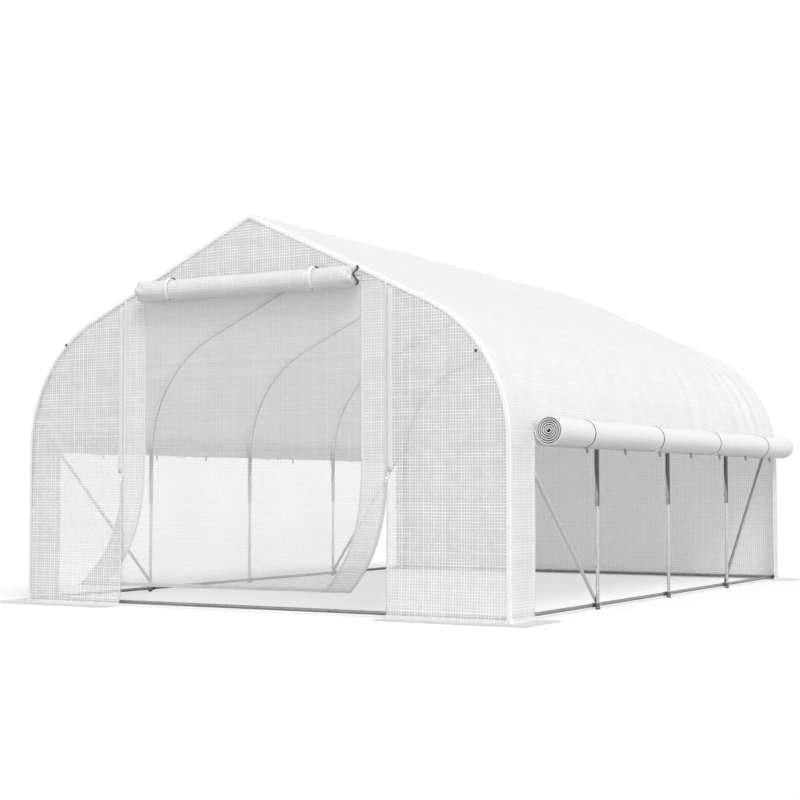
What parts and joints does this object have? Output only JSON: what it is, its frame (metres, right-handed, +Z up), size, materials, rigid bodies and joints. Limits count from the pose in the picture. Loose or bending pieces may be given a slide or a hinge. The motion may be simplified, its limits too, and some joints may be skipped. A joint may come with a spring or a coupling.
{
  "type": "polytunnel greenhouse",
  "caption": "Walk-in tunnel greenhouse of galvanised tube hoops under a white woven cover, with side curtains and front door rolled up and an insect screen in the doorway.",
  "frame": {"origin": "middle of the footprint, skirts included, on the ground", "axes": "+Z up, +Y along the length from the front doorway to the rear wall, +X to the right seen from the front"},
  "size_m": [3.3128, 4.5466, 2.0636],
  "materials": {
    "galvanised_tube": "galvanised, satin",
    "grey_plastic": "moulded, matte",
    "roof_cloth": "white woven plastic, smooth",
    "wall_cloth": "white woven plastic with a square thread grid",
    "rolled_cloth": "white woven plastic, rolled",
    "insect_mesh": "fine open mesh",
    "band_cloth": "white woven plastic with a square thread grid",
    "tie_strap": "woven webbing"
  },
  "bodies": {
    "root": {"left_legs": "galvanised_tube", "right_legs": "galvanised_tube", "left_bends": "galvanised_tube", "right_bends": "galvanised_tube", "left_rafters": "galvanised_tube", "right_rafters": "galvanised_tube", "peak_connectors": "galvanised_tube", "ridge_pole": "galvanised_tube", "left_base_rail": "galvanised_tube", "right_base_rail": "galvanised_tube", "front_base_rail": "galvanised_tube", "rear_base_rail": "galvanised_tube", "left_front_brace": "galvanised_tube", "left_rear_brace": "galvanised_tube", "right_front_brace": "galvanised_tube", "right_rear_brace": "galvanised_tube", "left_base_clamps": "grey_plastic", "right_base_clamps": "grey_plastic", "foot_caps": "grey_plastic", "roof_left_slope": "roof_cloth", "roof_right_slope": "roof_cloth", "roof_left_shoulder": "roof_cloth", "roof_right_shoulder": "roof_cloth", "front_left_strip": "wall_cloth", "front_right_strip": "wall_cloth", "rear_left_strip": "wall_cloth", "rear_right_strip": "wall_cloth", "front_gable": "wall_cloth", "front_left_panel": "wall_cloth", "front_right_panel": "wall_cloth", "rear_wall": "wall_cloth", "front_skirts": "wall_cloth", "rear_skirt": "wall_cloth", "side_skirts": "wall_cloth", "door_roll": "rolled_cloth", "left_side_roll": "rolled_cloth", "right_side_roll": "rolled_cloth", "screen_door": "insect_mesh", "left_zip_band": "band_cloth", "right_zip_band": "band_cloth", "door_roll_straps": "tie_strap", "left_roll_straps": "tie_strap", "right_roll_straps": "tie_strap"}
  },
  "joints": []
}
